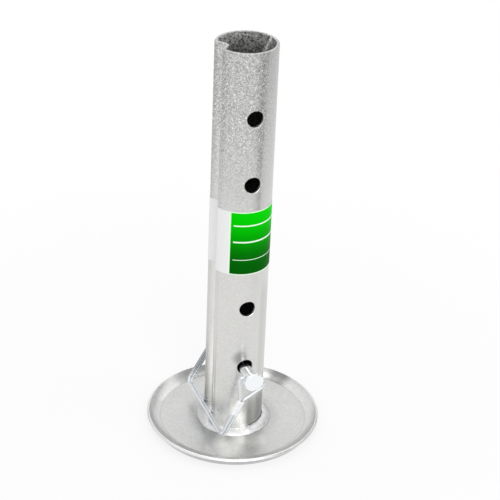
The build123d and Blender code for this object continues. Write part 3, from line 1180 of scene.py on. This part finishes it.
tube_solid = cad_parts["leg_tube"]
tube_faces = BVHTree.FromObject(tube_solid, bpy.context.evaluated_depsgraph_get())


def tube_surface(angle, height):
    """How far from the axis the tube's outer face lies at an angle and a height."""
    outward_way = Vector((cos(angle), sin(angle), 0))
    start = outward_way * ray_start + Vector((0, 0, height))
    distance = tube_faces.ray_cast(start, -outward_way)[3]
    return ray_start - distance


def bead_section(angle):
    """The bead's outline at one angle: toe, bulging face, tube side and foot."""
    surface = tube_surface(angle, ray_height)
    rise, reach, cut = run_at(angle)
    in_groove = min(1.0, (tube_radius - surface) / groove_depth)
    lump_beat = sin(lump_beats_round * angle + lump_beat_start)
    lump = bead_lump * sin(lumps_round * angle) * lump_beat
    toe = bead_reach - toe_gap + reach - cut / 2 + lump / 2
    top = bead_floor + rise + lump + (groove_rise - rise) * in_groove
    points = []
    for step in range(steps_up + 1):
        share = step / steps_up
        radius = toe + (surface + tube_overlap - toe) * share
        height = bead_floor + (top - bead_floor) * share
        crown = sin(pi * share)
        along = angle * tube_radius / ripple_pitch * tau + ripple_sweep * cos(pi * share)
        swell = (bead_bulge + ripple_depth * abs(sin(along / 2)) - cut) * crown
        slope = atan2(top - bead_floor, toe - surface)
        radius += swell * sin(slope)
        height += swell * cos(slope)
        points.append((radius, height))
    points.append((surface + tube_overlap, bead_floor))
    return points


weld_ripples = skin_rings("weld_ripples", bead_section, steps_round)
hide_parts("weld_bead")
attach(weld_ripples, "leg")
print("weld bead of", len(weld_ripples.data.polygons), "faces")

# %% [markdown]
# The run under the pin's head came out brightest. The metal that fills the foot of the key
# groove is painted brighter, as a painted highlight. From the end of that run a dark line
# of painted shade follows the joint with the tube. A material for each run would leave hard
# joins, so one material tells these places apart by the angle round the tube and the
# distance from its axis.

# %% Weld material
bright_run_from = run_rows[1][0]
bright_run_to = run_rows[2][0]
bright_run_tint = (0.95, 0.95, 0.955, 1.0)
other_run_tint = (0.74, 0.735, 0.745, 1.0)
run_blend = 0.03
joint_shade_width = 0.0009
groove_fill_from = 0.0236
groove_fill_to = 0.0246
joint_shade_tint = (0.30, 0.30, 0.30, 1.0)
weld_grain_depth = 0.0001

weld_material, weld_tree, weld_shader = start_material("weld_zinc")
weld_axes = split_axes(weld_tree, object_place(weld_tree))
weld_angle = add_math(weld_tree, "ARCTAN2", weld_axes["Y"], weld_axes["X"])
run_starts = add_ramp(weld_tree, weld_angle, bright_run_from - run_blend, bright_run_from + run_blend)
run_ends = add_ramp(weld_tree, weld_angle, bright_run_to - run_blend, bright_run_to + run_blend, 1.0, 0.0)
in_bright_run = add_math(weld_tree, "MULTIPLY", run_starts, run_ends)
weld_radius = add_length(weld_tree, weld_axes["X"], weld_axes["Y"])
# The weld in the foot of the key groove gets a painted highlight.
groove_fill_highlight = add_ramp(weld_tree, weld_radius, groove_fill_from, groove_fill_to, 1.0, 0.0)
bright_run_and_highlight = add_math(weld_tree, "ADD", in_bright_run, groove_fill_highlight, clamp=True)
weld_tint = add_color_mix(weld_tree, bright_run_and_highlight, other_run_tint, bright_run_tint)
# Past the bright run, a dark line of painted shade follows the joint with the tube.
from_joint = add_distance(weld_tree, weld_radius, tube_radius)
joint_painted_shade = add_ramp(weld_tree, from_joint, joint_shade_width / 2, joint_shade_width, 1.0, 0.0)
past_bright_run = add_ramp(weld_tree, weld_angle, bright_run_to - run_blend, bright_run_to + run_blend)
joint_painted_shade = add_math(weld_tree, "MULTIPLY", joint_painted_shade, past_bright_run)
weld_tint = add_color_mix(weld_tree, joint_painted_shade, weld_tint, joint_shade_tint)
weld_grain = place_group(
    weld_tree,
    grain_group,
    Tint=weld_tint,
    Amount=0.5,
    Cells_per_Metre=900.0,
    Contrast=0.25,
    Roughness=0.38,
    Roughness_Spread=0.12,
)
weld_blotch = place_group(
    weld_tree,
    blotch_group,
    Color=weld_grain["Color"],
    Roughness=weld_grain["Roughness"],
    Patches_per_Metre=160.0,
    Tone_Spread=0.3,
    Roughness_Spread=0.25,
)
weld_tree.links.new(weld_blotch["Color"], weld_shader.inputs["Base Color"])
weld_tree.links.new(weld_blotch["Roughness"], weld_shader.inputs["Roughness"])
weld_shader.inputs["Metallic"].default_value = 1.0
add_bump(weld_tree, weld_shader, weld_grain["Height"], weld_grain_depth)
weld_ripples.data.materials.append(weld_material)
print(weld_ripples.name, "wears", weld_material.name)
